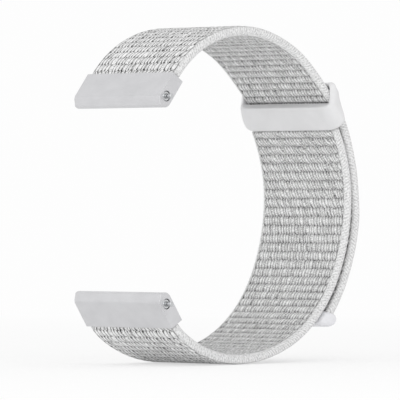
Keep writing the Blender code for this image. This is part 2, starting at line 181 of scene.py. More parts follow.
webbing = {
    "width": 0.0220,
    "thickness": 0.0018,
    "ribPitch": 0.0018,
    "ribHeight": 0.00028,
    "outerRib": 0.45,         # share of that height on the outer face, which is flatter
    "ribProud": 0.00008,
    "ribRound": 2.6,          # a round back and a sharp valley
    "ribEnd": 0.0002,         # ribs end this far past the flat of a face
    "ribFade": 0.0008,
    "grain": 0.00003,
    "grainScale": (1600, 3000),    # on the faces, about 0.6 mm, and out of them
    "stepsInRib": 9,
    "stepsAcross": 66,
    "stepsRound": 8,
    "seatGap": 0.0003,        # room round each held end in its slot
    "heldWidth": 0.0200,
    # where it is held: its thickness there, how far inside the mouth it starts to draw in, and
    # over what length
    "inEndPiece": (0.0014, 0.0004, 0.0008),
    "inRing": (0.0010, 0.0002, 0.0006),
    "inTip": (0.0012, 0.0009, 0.0006),
}
sectionFlat = webbing["width"] - webbing["thickness"]
sectionArc = pi * webbing["thickness"] / 2
sectionRound = 2 * (sectionFlat + sectionArc)

tail = {
    "length": 0.0385,
    "space": 0.00035,         # between the tail and the lower webbing, and over the hook pad
    "padSpace": 0.00085,
    "spaceBlend": 0.0070,
    "offsetAtRing": 0.0024,
    "peelLength": 0.017018,
    "slotDepth": 0.0025,
    "heldLength": 0.0018,     # how far it reaches into the tip
    "liftPastBar": 0.0007,
    "liftReach": 0.0022,      # half the length of the span of webbing about the hinge that the tail lifts on
    "peelReach": 0.0030,      # and about the hinge that its end peels on
    "steps": 96,
}


def direction(heading):
    return Vector((cos(heading), sin(heading)))


def outward(heading, side):
    return Vector((-sin(heading), cos(heading))) * side


def arcBezier(start, end):
    (first, fromHeading), (last, toHeading) = start, end
    chord = (last - first).length
    turn = abs(toHeading - fromHeading)
    handle = chord / 3
    if turn > radians(0.1):
        handle = chord * 2 / 3 * tan(turn / 4) / sin(turn / 2)
    near = first + direction(fromHeading) * handle
    far = last - direction(toHeading) * handle
    points = []
    for step in range(loop["curveSteps"]):
        t = step / loop["curveSteps"]
        u = 1 - t
        points.append(first * u**3 + near * 3 * u * u * t + far * 3 * u * t * t + last * t**3)
    return points


def through(knots):
    points = []
    for start, end in zip(knots[:-1], knots[1:]):
        points.extend(arcBezier(start, end))
    points.append(knots[-1][0])
    return points


def measured(points):
    line = [(0.0, points[0])]
    for point in points[1:]:
        step = (point - line[-1][1]).length
        if step > 0:
            line.append((line[-1][0] + step, point))
    return line


def pointOn(line, length):
    index = bisect_left(line, length, key=lambda entry: entry[0])
    index = min(max(index, 1), len(line) - 1)
    (before, one), (after, two) = line[index - 1], line[index]
    return one + (two - one) * ((length - before) / (after - before))


def placeOn(line, length):
    reach = webbing["thickness"] / 4
    ahead = pointOn(line, length + reach)
    behind = pointOn(line, length - reach)
    return pointOn(line, length), atan2(ahead.y - behind.y, ahead.x - behind.x)


def lengthTo(line, point):
    return min(line, key=lambda entry: (entry[1] - point).length)[0]


def ease(value):
    value = min(1.0, max(0.0, value))
    return value * value * (3 - 2 * value)


def endPoint(angle, along, out, side):
    heading = radians(angle) * side
    start = Vector((0.0, loop["barSpacing"] / 2 * side))
    return start + direction(heading) * along + outward(heading, side) * out


ringHeading = radians(ring["angle"])
ringMiddle = Vector((ring["depthShare"] * loop["depth"], ring["heightShare"] * loop["rise"]))


def ringPoint(along, out):
    return ringMiddle + direction(ringHeading) * along + outward(ringHeading, 1) * out


def strapKnots(angle, side, shares, height):
    # The webbing starts in its end piece, leaves it at that angle and goes on through the knots.
    offset = endPiece["webbingOffset"]
    start = endPoint(angle, endPiece["slotStart"] + webbing["seatGap"], offset, side)
    knots = [(endPoint(angle, endPiece["rearWrist"], offset, side), radians(angle) * side)]
    for depthShare, heightShare, heading in shares:
        place = Vector((depthShare * loop["depth"], heightShare * height))
        knots.append((place, radians(heading)))
    return start, knots


def makeLines():
    half = ring["length"] / 2
    start, knots = strapKnots(endPiece["lowerAngle"], -1, loop["lowerKnots"], -loop["drop"])
    knots.append((ringPoint(half, 0.0), ringHeading + pi))
    knots.append((ringPoint(-half, 0.0), ringHeading + pi))
    lowerLine = measured([start] + through(knots))
    sleevePlace = lowerLine[-1][0] - half

    start, knots = strapKnots(endPiece["upperAngle"], 1, loop["upperKnots"], loop["rise"])
    crossing = ringPoint(-ring["crossingBefore"], ring["crossingOffset"])
    knots.append((crossing, ringHeading + radians(ring["crossingAngle"])))
    knots.append((ringPoint(0.0, tail["offsetAtRing"]), ringHeading))
    upper = [start] + through(knots)

    # Past the ring the tail lies on the lower webbing, a little further out over the hook pad.
    atTail = webbing["thickness"] + tail["space"]
    atPad = webbing["thickness"] + tail["padSpace"]
    blend = tail["spaceBlend"]
    for step in range(1, tail["steps"] + 1):
        below = tail["length"] * step / tail["steps"]
        near = ease((below - half) / blend)
        far = ease((below - tail["length"] + tail["peelLength"] + blend) / blend)
        apart = tail["offsetAtRing"] + (atTail - tail["offsetAtRing"]) * near
        apart += (atPad - atTail) * far
        middle, heading = placeOn(lowerLine, sleevePlace - below)
        upper.append(middle + outward(heading, -1) * apart)
    last = (upper[-1] - upper[-2]).normalized()
    upper.append(upper[-1] + last * tail["slotDepth"])
    return lowerLine, sleevePlace, measured(upper), crossing


lowerLine, sleevePlace, upperLine, crossing = makeLines()
tipPlace = upperLine[-1][0] - tail["slotDepth"]
peelPlace = tipPlace - tail["peelLength"]
liftPlace = lengthTo(upperLine, crossing) + ring["barLength"] / 2 + tail["liftPastBar"]
print("lines made, lower", round(lowerLine[-1][0] * 1000, 1), "mm, upper",
      round(upperLine[-1][0] * 1000, 1), "mm")


# Mesh helpers

def finishMesh(name, bm, material=None, sharpFrom=None):
    mesh = bpy.data.meshes.new(name)
    bm.to_mesh(mesh)
    bm.free()
    thing = bpy.data.objects.new(name, mesh)
    bpy.context.scene.collection.objects.link(thing)
    if material:
        mesh.materials.append(material)
    mesh.shade_smooth()
    if sharpFrom:
        mesh.set_sharp_from_angle(angle=radians(sharpFrom))
    return thing


def applyModifiers(thing):
    # The modified mesh takes the place of the one that it was made from.
    graph = bpy.context.evaluated_depsgraph_get()
    graph.update()
    shaped = bpy.data.meshes.new_from_object(thing.evaluated_get(graph))
    old = thing.data
    thing.modifiers.clear()
    thing.data = shaped
    shaped.name = thing.name
    bpy.data.meshes.remove(old)
    shaped.shade_smooth()


def newVerts(result):
    return [item for item in result["geom"] if isinstance(item, bmesh.types.BMVert)]


def closeEnds(bm):
    bmesh.ops.holes_fill(bm, edges=[edge for edge in bm.edges if edge.is_boundary], sides=0)
    bmesh.ops.recalc_face_normals(bm, faces=bm.faces)


def extrudedProfile(outline, left, right):
    # One face of the side view's outline, drawn out across the strap.
    bm = bmesh.new()
    face = bm.faces.new([bm.verts.new((left, along, out)) for along, out in outline])
    result = bmesh.ops.extrude_face_region(bm, geom=[face])
    bmesh.ops.translate(bm, verts=newVerts(result), vec=(right - left, 0.0, 0.0))
    bmesh.ops.recalc_face_normals(bm, faces=bm.faces)
    return bm


def endEdges(bm, wanted=lambda place: True):
    # The edges of such a shape's two end faces, where both of an edge's corners are wanted.
    return [edge for edge in bm.edges
            if abs(edge.verts[0].co.x - edge.verts[1].co.x) < 1e-6
            and all(wanted(Vector(vert.co.yz)) for vert in edge.verts)]


def roundEdges(bm, edges, radius, segments, clamp=False):
    bmesh.ops.bevel(bm, geom=edges, offset=radius, offset_type="OFFSET", affect="EDGES",
                    segments=segments, profile=0.5, material=-1, clamp_overlap=clamp)


def cutBox(left, right, back, front, low, high):
    return extrudedProfile([(back, low), (front, low), (front, high), (back, high)], left, right)


def cutAway(thing, bm):
    cutter = finishMesh(thing.name + ".cutter", bm)
    modifier = thing.modifiers.new("cut", "BOOLEAN")
    modifier.operation = "DIFFERENCE"
    modifier.solver = "EXACT"
    modifier.object = cutter
    applyModifiers(thing)
    mesh = cutter.data
    bpy.data.objects.remove(cutter, do_unlink=True)
    bpy.data.meshes.remove(mesh)


def cutHeldSlot(thing, holder, back, front, out):
    # The slot that a thin held end of the webbing sits in.
    across = webbing["heldWidth"] / 2 + webbing["seatGap"]
    room = webbing[holder][0] / 2 + webbing["seatGap"]
    cutAway(thing, cutBox(-across, across, back, front, out - room, out + room))


def turnedShape(profile, sides=40):
    # The profile is pairs of place along X and radius, spun once about X.
    bm = bmesh.new()
    verts = [bm.verts.new((x, radius, 0.0)) for x, radius in profile]
    edges = [bm.edges.new(pair) for pair in zip(verts[:-1], verts[1:])]
    bmesh.ops.spin(bm, geom=verts + edges, cent=(0, 0, 0), axis=(1, 0, 0), dvec=(0, 0, 0),
                   angle=2 * pi, steps=sides, use_merge=True)
    bmesh.ops.remove_doubles(bm, verts=bm.verts, dist=1e-7)
    bmesh.ops.recalc_face_normals(bm, faces=bm.faces)
    return bm


# Materials

clothLook = {
    "byFace": {                                # for the wrist face and the outer face
        "threadsInMm": (1 / 0.72, 1 / 0.86),   # float threads, counted across the strap
        "lastThread": (1.62, 1.32),            # mm from the middle of the selvedge
        "valleyShadeDepth": (0.76, 0.98),           # how dark the painted shade in a valley between two ribs gets, 0 to 1
        "betweenDashes": (0.78, 0.20),         # how much of that dark is there between the dashes
        "gapShadeDepth": (0.46, 0.90),              # how dark the painted shade in the gap between two threads gets
        "gapClosed": (0.0, 0.38),              # how much lighter that painted shade gets on top of a rib
    },
    "wristTones": [(0.0, "#6C6C6C"), (0.3, "#B2B2B2"), (0.6, "#D8D8D8"), (1.0, "#F4F4F4")],
    "outerTones": [(0.0, "#808080"), (0.3, "#C4C4C4"), (0.6, "#E4E4E4"), (1.0, "#F6F6F6")],
    "selvedgeTones": [(0.22, "#BABABA"), (0.42, "#D2D2D2"), (0.58, "#DEDEDE"), (0.80, "#ECECEC")],
    "sway": 0.40,             # how far threads end before or after their neighbours, in ribs
    "ribStart": -0.20,        # takes off half of that, so that valleys lie in the mesh's valleys
    "ribBack": 0.45,          # the lower, the broader a rib's back and the sharper its valley
    "outerLean": -0.5,        # threads that a thread leans by in one rib
    "leanStray": 0.5,
    "ribShift": 7.0,          # threads that one rib may be shifted by against another
    "drift": 1.6,             # threads that their row wanders by within a rib
    "twists": 4.3,            # turns of a thread's plies in one rib
    "twistStart": 5.0,        # turns that one thread may be ahead of another
    "twistTone": 0.13,
    "twistRelief": 0.06,
    "threadTone": 0.24,       # how much lighter one thread may be than another
    "fibreRelief": 0.25,
    "stitch": 0.62,           # mm along the selvedge for one stitch of its braid
    "stitchTone": 0.13,
    "scallop": 0.24,          # mm that the last thread stands out by on top of a rib
    "seamShadeDepth": 0.46,        # how dark the painted shade in the seam beside the selvedge gets between two ribs
    "seamOnRib": 0.30,        # and how much less on top of a rib
}


def makeWebbingMaterial():
    # Woven nylon and polyester melange: light grey float threads lie over each rib, and the
    # selvedges are a close light braid. Painted shade darkens the valleys between ribs, the gaps
    # between threads and the seam beside each selvedge. It reads as dry cloth.
    look = clothLook
    material, tree, shader = newMaterial("wovenNylonMelange")
    threads = addNode(tree, "UVMap", uv_map="threads")
    across = addNode(tree, "SeparateXYZ", [threads], "X")    # mm from the middle of the wrist face
    along = across.node.outputs["Y"]                         # mm along the strap

    edgeMiddle = sectionRound / 4 * 1000
    fromWrist = addNode(tree, "Math", [across], operation="ABSOLUTE")
    isOuter = addNode(tree, "Math", [fromWrist, edgeMiddle], operation="GREATER_THAN")
    pastEdge = addNode(tree, "Math", [fromWrist, edgeMiddle], operation="SUBTRACT")
    toEdge = addNode(tree, "Math", [pastEdge], operation="ABSOLUTE")
    here = {}
    for name, (wrist, outer) in look["byFace"].items():
        here[name] = addNode(tree, "Mix", {0: isOuter, 2: wrist, 3: outer}, data_type="FLOAT")

    # Ribs of 1.8 mm, with each thread's end a little before or after its neighbour's
    stretched = addNode(tree, "Mapping", {"Vector": threads, "Scale": (1.7, 0.35, 1.0)})
    sway = addNode(tree, "TexNoise", {"Vector": stretched, "Scale": 1.0, "Detail": 2.0}, "Fac")
    ribs = addNode(tree, "Math", [along, 0.001 / webbing["ribPitch"], look["ribStart"]],
                   operation="MULTIPLY_ADD")
    ribPlace = addNode(tree, "Math", [sway, look["sway"], ribs], operation="MULTIPLY_ADD")
    ribNumber = addNode(tree, "Math", [ribPlace], operation="FLOOR")
    ribShare = addNode(tree, "Math", [ribPlace], operation="FRACT")
    ribTurn = addNode(tree, "Math", [ribShare, pi], operation="MULTIPLY")
    ribRise = addNode(tree, "Math", [ribTurn], operation="SINE")
    ridge = addNode(tree, "Math", [ribRise, look["ribBack"]], operation="POWER")

    # Float threads lean one way near the ring and the other way under the wrist
    ribDraw = addNode(tree, "TexWhiteNoise", {"W": ribNumber}, "Value", noise_dimensions="1D")
    wristLean = addNode(tree, "MapRange", {"Value": along, "From Min": 30.0, "From Max": 85.0,
                                           "To Min": 0.9, "To Max": -1.7}, "Result")
    lean = addNode(tree, "Mix", {0: isOuter, 2: wristLean, 3: look["outerLean"]}, data_type="FLOAT")
    lean = addNode(tree, "Math", [ribDraw, look["leanStray"], lean], operation="MULTIPLY_ADD")
    fromMiddle = addNode(tree, "Math", [ribShare, 0.5], operation="SUBTRACT")
    leaning = addNode(tree, "Math", [fromMiddle, lean], operation="MULTIPLY")
    driftPlace = addNode(tree, "CombineXYZ", [across, ribNumber])
    drift = addNode(tree, "TexNoise", {"Vector": driftPlace, "Scale": 0.9, "Detail": 2.0}, "Fac")
    place = addNode(tree, "Math", [across, here["threadsInMm"], leaning], operation="MULTIPLY_ADD")
    place = addNode(tree, "Math", [ribDraw, look["ribShift"], place], operation="MULTIPLY_ADD")
    threadPlace = addNode(tree, "Math", [drift, look["drift"], place], operation="MULTIPLY_ADD")
    threadNumber = addNode(tree, "Math", [threadPlace], operation="FLOOR")
    oneFloat = addNode(tree, "CombineXYZ", [threadNumber, ribNumber])
    draw = addNode(tree, "TexWhiteNoise", {"Vector": oneFloat}, "Value", noise_dimensions="2D")
    # Painted shade across each thread: darkest in the gap between two threads
    threadTurn = addNode(tree, "Math", [threadPlace, 2 * pi], operation="MULTIPLY")
    gap = addNode(tree, "Math", [threadTurn], operation="COSINE")
    gap = addNode(tree, "MapRange", {"Value": gap, "From Min": 0.0, "From Max": 1.0}, "Result")

    # Plied fibres: fine light and dark streaks along each thread, and specks of dark weft
    streakPlace = addNode(tree, "CombineXYZ", [threadPlace, ribPlace, ribNumber])
    streakPlace = addNode(tree, "Mapping", {"Vector": streakPlace, "Scale": (2.0, 1.3, 5.0)})
    streak = addNode(tree, "TexNoise", {"Vector": streakPlace, "Scale": 1.0, "Detail": 3.0,
                                        "Roughness": 0.65}, "Fac")
    fleckPlace = addNode(tree, "Mapping", {"Vector": streakPlace, "Scale": (1.5, 4.2, 1.0)})
    fleck = addNode(tree, "TexNoise", {"Vector": fleckPlace, "Scale": 1.0, "Detail": 1.0}, "Fac")
    twist = addNode(tree, "Math", [ribPlace, look["twists"], threadPlace], operation="MULTIPLY_ADD")
    twist = addNode(tree, "Math", [draw, look["twistStart"], twist], operation="MULTIPLY_ADD")
    twist = addNode(tree, "Math", [twist, 2 * pi], operation="MULTIPLY")
    twist = addNode(tree, "Math", [twist], operation="SINE")
    tone = addNode(tree, "MapRange", {"Value": streak, "From Min": 0.32, "From Max": 0.68,
                                      "To Min": -0.22, "To Max": 0.26}, "Result")
    tone = addNode(tree, "Math", [draw, look["threadTone"], tone], operation="MULTIPLY_ADD")
    fleck = addNode(tree, "MapRange", {"Value": fleck, "To Min": -0.30, "To Max": 1.30}, "Result")
    tone = addNode(tree, "Math", [fleck, tone], operation="ADD")
    tone = addNode(tree, "Math", [twist, look["twistTone"], tone], operation="MULTIPLY_ADD")
    wristTone = addNode(tree, "ValToRGB", [tone], stops=look["wristTones"])
    outerTone = addNode(tree, "ValToRGB", [tone], stops=look["outerTones"])
    faceTone = addNode(tree, "Mix", {0: isOuter, 6: wristTone, 7: outerTone}, 2, data_type="RGBA")

    # Valleys: painted shade, in a row of uneven dark dashes
    dashPlace = addNode(tree, "CombineXYZ", [threadPlace, ribs])
    dash = addNode(tree, "TexNoise", {"Vector": dashPlace, "Scale": 1.15, "Detail": 2.0,
                                      "Roughness": 0.6}, "Fac")
    dash = addNode(tree, "MapRange", {"Value": dash, "From Min": 0.34, "From Max": 0.62,
                                      "To Min": 0.45, "To Max": 1.0}, "Result")
    dashed = addNode(tree, "Mix", {0: gap, 2: here["betweenDashes"], 3: 1.0}, data_type="FLOAT")
    dash = addNode(tree, "Math", [dash, dashed], operation="MULTIPLY")
    # Painted shade in the valley, deepest where the rib's back falls away
    valley = addNode(tree, "Math", [1.0, ridge], operation="SUBTRACT")
    valley = addNode(tree, "Math", [valley, dash], operation="MULTIPLY")
    valleyShade = addNode(tree, "Math", [valley, here["valleyShadeDepth"]], operation="MULTIPLY")
    # Painted shade in the gaps between threads, less on top of a rib
    closed = addNode(tree, "Math", [here["gapClosed"], ridge], operation="MULTIPLY")
    gapShadeDepth = addNode(tree, "Math", [here["gapShadeDepth"], closed], operation="SUBTRACT",
                       use_clamp=True)
    gapShade = addNode(tree, "Math", [gap, gapShadeDepth], operation="MULTIPLY")
    # The painted shade of the valleys and of the gaps darkens the face's colour
    dark = addNode(tree, "Math", [valleyShade, gapShade], operation="ADD")
    light = addNode(tree, "Math", [1.0, dark], operation="SUBTRACT", use_clamp=True)
    faceColour = addNode(tree, "Mix", {0: 1.0, 6: faceTone, 7: light}, 2, data_type="RGBA",
                         blend_type="MULTIPLY")

    # Selvedge: a close light braid of slanting stitches
    speck = addNode(tree, "TexNoise", {"Vector": threads, "Scale": 2.4, "Detail": 3.0,
                                       "Roughness": 0.7}, "Fac")
    slant = addNode(tree, "Math", [across, speck], operation="ADD")
    slant = addNode(tree, "Math", [along, 1 / look["stitch"], slant], operation="MULTIPLY_ADD")
    slant = addNode(tree, "Math", [slant, 2 * pi], operation="MULTIPLY")
    stitch = addNode(tree, "Math", [slant], operation="SINE")
    edgeTone = addNode(tree, "MapRange", {"Value": speck, "From Min": 0.25, "From Max": 0.75},
                       "Result")
    edgeTone = addNode(tree, "Math", [stitch, look["stitchTone"], edgeTone],
                       operation="MULTIPLY_ADD")
    edgeColour = addNode(tree, "ValToRGB", [edgeTone], stops=look["selvedgeTones"])

    # The face threads end in a scalloped row beside the selvedge, with painted shade in the seam
    # there, darkest between the ribs
    faceEdge = addNode(tree, "Math", [ribRise, -look["scallop"], here["lastThread"]],
                       operation="MULTIPLY_ADD")
    fromEdge = addNode(tree, "Math", [toEdge, faceEdge], operation="SUBTRACT")
    isFace = addNode(tree, "MapRange", {"Value": fromEdge, "From Min": -0.18, "From Max": -0.02},
                     "Result")
    colour = addNode(tree, "Mix", {0: isFace, 6: edgeColour, 7: faceColour}, 2, data_type="RGBA")
    offSeam = addNode(tree, "Math", [fromEdge], operation="ABSOLUTE")
    nearSeam = addNode(tree, "MapRange", {"Value": offSeam, "From Min": 0.04, "From Max": 0.30,
                                          "To Min": 1.0, "To Max": 0.0}, "Result")
    # Painted shade in the seam, less on top of a rib
    seam = addNode(tree, "Math", [ribRise, -look["seamOnRib"], look["seamShadeDepth"]],
                   operation="MULTIPLY_ADD")
    seam = addNode(tree, "Math", [nearSeam, seam], operation="MULTIPLY")
    seamLight = addNode(tree, "Math", [1.0, seam], operation="SUBTRACT")
    colour = addNode(tree, "Mix", {0: 1.0, 6: colour, 7: seamLight}, 2, data_type="RGBA",
                     blend_type="MULTIPLY")

    edgeHeight = addNode(tree, "Math", [edgeTone, 0.35, 0.30], operation="MULTIPLY_ADD")
    faceHeight = addNode(tree, "Math", [streak, look["fibreRelief"], light],
                         operation="MULTIPLY_ADD")
    faceHeight = addNode(tree, "Math", [twist, look["twistRelief"], faceHeight],
                         operation="MULTIPLY_ADD")
    height = addNode(tree, "Mix", {0: isFace, 2: edgeHeight, 3: faceHeight}, data_type="FLOAT")
    bump = addNode(tree, "Bump", {"Height": height, "Strength": 0.7, "Distance": 0.00018})
    setInputs(tree, shader, {"Base Color": colour, "Normal": bump, "Roughness": 0.88,
                             "Specular IOR Level": 0.2, "Sheen Weight": 0.12,
                             "Sheen Roughness": 0.5})
    return material


def finishSkin(tree, shader, grain, shade, tones, gloss, relief):
    # What hard skins share: the colour follows shade, and gloss and a fine relief follow grain.
    dark, light = tones
    smooth, rough = gloss
    strength, depth = relief
    colour = addNode(tree, "ValToRGB", [shade], stops=[(0.3, dark), (0.7, light)])
    roughness = addNode(tree, "MapRange", {"Value": grain, "From Min": 0.3, "From Max": 0.7,
                                           "To Min": smooth, "To Max": rough}, "Result")
    bump = addNode(tree, "Bump", {"Height": grain, "Strength": strength, "Distance": depth})
    setInputs(tree, shader, {"Base Color": colour, "Roughness": roughness, "Normal": bump})


def grainAndCloud(tree, grainScale, cloudScale):
    # The fine grain of a hard skin, and faint broad clouds in its tone.
    place = addNode(tree, "TexCoord", output="Object")
    return [addNode(tree, "TexNoise", {"Vector": place, "Scale": scale, "Detail": 2.0}, "Fac")
            for scale in (grainScale, cloudScale)]


def makeSatinMetal():
    # Bead blasted, silver anodised aluminium: an even satin grey with a soft gleam along its edges.
    material, tree, shader = newMaterial("anodisedAluminium")
    grain, cloud = grainAndCloud(tree, 9000.0, 350.0)    # 0.11 mm and 3 mm
    finishSkin(tree, shader, grain, cloud, ("#D0D0D2", "#D6D6D8"), (0.36, 0.48), (0.07, 0.00003))
    shader.inputs["Metallic"].default_value = 1.0
    return material


def makeMouldedPlastic(name, tones, gloss):
    # Injection moulded nylon with a fine spark eroded texture: matt, slightly cool grey.
    material, tree, shader = newMaterial(name)
    grain, cloud = grainAndCloud(tree, 7000.0, 260.0)    # 0.14 mm and 4 mm
    finishSkin(tree, shader, grain, cloud, tones, gloss, (0.10, 0.00003))
    shader.inputs["IOR"].default_value = 1.5
    return material


def makeBarSteel(name, lineScale):
    # Turned and polished stainless steel: bright, with fine rings round the bar from the lathe.
    material, tree, shader = newMaterial(name)
    place = addNode(tree, "TexCoord", output="Object")
    fromMiddle = addNode(tree, "SeparateXYZ", [place], "X")
    rings = addNode(tree, "TexNoise", {"W": fromMiddle, "Scale": lineScale, "Detail": 3.0}, "Fac",
                    noise_dimensions="1D")
    finishSkin(tree, shader, rings, rings, ("#B6B8BA", "#D2D3D4"), (0.18, 0.32), (0.15, 0.00002))
    shader.inputs["Metallic"].default_value = 1.0
    return material


def makeHookTape():
    # Woven hook tape in grey nylon: a ribbed ground cloth, 1.1 mm apart, with half glossy hooks.
    material, tree, shader = newMaterial("nylonHookTape")
    place = addNode(tree, "TexCoord", output="Object")
    weave = addNode(tree, "TexWave", {"Vector": place, "Scale": 900.0, "Distortion": 1.5,
                                      "Detail": 1.0}, "Fac", bands_direction="X")
    tone = addNode(tree, "ValToRGB", [weave], stops=[(0.0, "#8E8E90"), (1.0, "#B2B2B4")])
    bump = addNode(tree, "Bump", {"Height": weave, "Strength": 0.4, "Distance": 0.00005})
    setInputs(tree, shader, {"Base Color": tone, "Normal": bump, "Roughness": 0.55})
    return material


cloth = makeWebbingMaterial()
satin = makeSatinMetal()
ringPlastic = makeMouldedPlastic("mouldedRingNylon", ("#D6D6D7", "#DCDCDD"), (0.45, 0.56))
tipPlastic = makeMouldedPlastic("mouldedTipNylon", ("#DDDDE1", "#E3E3E6"), (0.37, 0.48))
steel = makeBarSteel("turnedSteel", 9000.0)
springSteel = makeBarSteel("springWire", 14000.0)
hookCloth = makeHookTape()
print("materials made")


# Webbing

def sectionPoint(share):
    # Place across, height and how squarely the skin faces out, at a share of the way round from
    # the middle of the outer face. The second half mirrors the first.
    side = 1 if share <= 0.5 else -1
    radius, halfFlat = webbing["thickness"] / 2, sectionFlat / 2
    place = min(share, 1 - share) * sectionRound
    if place < halfFlat:
        return side * place, radius, 1.0
    if place < halfFlat + sectionArc:
        turn = (place - halfFlat) / radius
        return side * (halfFlat + radius * sin(turn)), radius * cos(turn), cos(turn)
    return side * (sectionRound / 2 - place), -radius, -1.0


def makeWebbing(name, line, side, start, end, sizeAt):
    # A flat grid is wrapped round the section and laid along the line. Ribs stand out of it.
    pitch, fine = webbing["ribPitch"], webbing["grainScale"]
    aroundSteps = 2 * (webbing["stepsAcross"] + webbing["stepsRound"])
    alongSteps = max(4, round((end - start) / pitch * webbing["stepsInRib"]))
    bm = bmesh.new()
    bmesh.ops.create_grid(bm, x_segments=aroundSteps, y_segments=alongSteps, size=0.5)
    layer = bm.loops.layers.uv.new("threads")
    for face in bm.faces:
        for corner in face.loops:
            share, length = corner.vert.co.x, start + (corner.vert.co.y + 0.5) * (end - start)
            corner[layer].uv = (share * sectionRound * 1000, length * 1000)
    places = {}
    for vert in bm.verts:
        share, length = vert.co.x + 0.5, start + (vert.co.y + 0.5) * (end - start)
        key = round(length, 9)
        if key not in places:
            middle, heading = placeOn(line, length)
            places[key] = (middle, outward(heading, side), sizeAt(length))
        middle, out, (width, thickness) = places[key]
        x, height, facing = sectionPoint(share)
        x *= width / webbing["width"]
        height *= thickness / webbing["thickness"]
        toSelvedge = sectionFlat / 2 - abs(x) + webbing["ribEnd"]
        inFace = ease(toSelvedge / webbing["ribFade"]) * abs(facing)
        bow = 1.0 - abs(2 * ((length / pitch) % 1.0) - 1.0) ** webbing["ribRound"]
        grain = noise.noise(Vector((x * fine[0], length * fine[0], height * fine[1])))
        rise = webbing["ribHeight"] * (1.0 if facing < 0 else webbing["outerRib"])
        relief = (bow - 1.0) * rise + webbing["ribProud"] + grain * webbing["grain"]
        relief *= inFace * thickness / webbing["thickness"]
        point = middle + out * (height + facing * relief)
        vert.co = Vector((x, point.x, point.y))
    bmesh.ops.remove_doubles(bm, verts=bm.verts, dist=1e-6)
    closeEnds(bm)
    return finishMesh(name, bm, cloth)


exitPlace = endPiece["rearWrist"] - endPiece["slotStart"] - webbing["seatGap"]
sleeveStart = sleevePlace - ring["length"] / 2


def drawnIn(holder, fromMouth):
    # Width and thickness at a distance out of the slot: thin in it, and full outside.
    thin, before, over = webbing[holder]
    width, thickness = webbing["heldWidth"], webbing["thickness"]
    share = ease((fromMouth + before) / over)
    return width + (webbing["width"] - width) * share, thin + (thickness - thin) * share


def lowerSize(length):
    return min(drawnIn("inEndPiece", length - exitPlace), drawnIn("inRing", sleeveStart - length))


def upperSize(length):
    return drawnIn("inEndPiece", length - exitPlace)


def tailSize(length):
    return drawnIn("inTip", tipPlace - length)


ribPitch = webbing["ribPitch"]
midTail = round((liftPlace + peelPlace) / 2 / ribPitch) * ribPitch
lowerEndPlace = lowerLine[-1][0] - ring["slotStart"] - webbing["seatGap"]
tailEndPlace = tipPlace + tail["heldLength"]
lowerWebbing = makeWebbing("lowerWebbing", lowerLine, -1, 0.0, lowerEndPlace, lowerSize)
upperWebbing = makeWebbing("upperWebbing", upperLine, 1, 0.0, midTail, upperSize)
tailWebbing = makeWebbing("tailWebbing", upperLine, 1, midTail, tailEndPlace, tailSize)
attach(lowerWebbing, "strap")
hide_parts("lower_strap")
print("webbing made", len(lowerWebbing.data.polygons), len(upperWebbing.data.polygons),
      len(tailWebbing.data.polygons))


# Ring and tip

def ringBarCorner(along, out):
    slope = radians(ring["crossingAngle"])
    middle = Vector((-ring["crossingBefore"], ring["crossingOffset"]))
    return middle + direction(slope) * along + outward(slope, 1) * out


def evenSkin(thing, voxel, rounds):
    # Even small faces all over, then smoothing, give a moulding's soft edges.
    remesh = thing.modifiers.new("voxels", "REMESH")
    remesh.mode = "VOXEL"
    remesh.voxel_size = voxel
    smooth = thing.modifiers.new("soft edges", "SMOOTH")
    smooth.factor = 0.5
    smooth.iterations = rounds
    applyModifiers(thing)


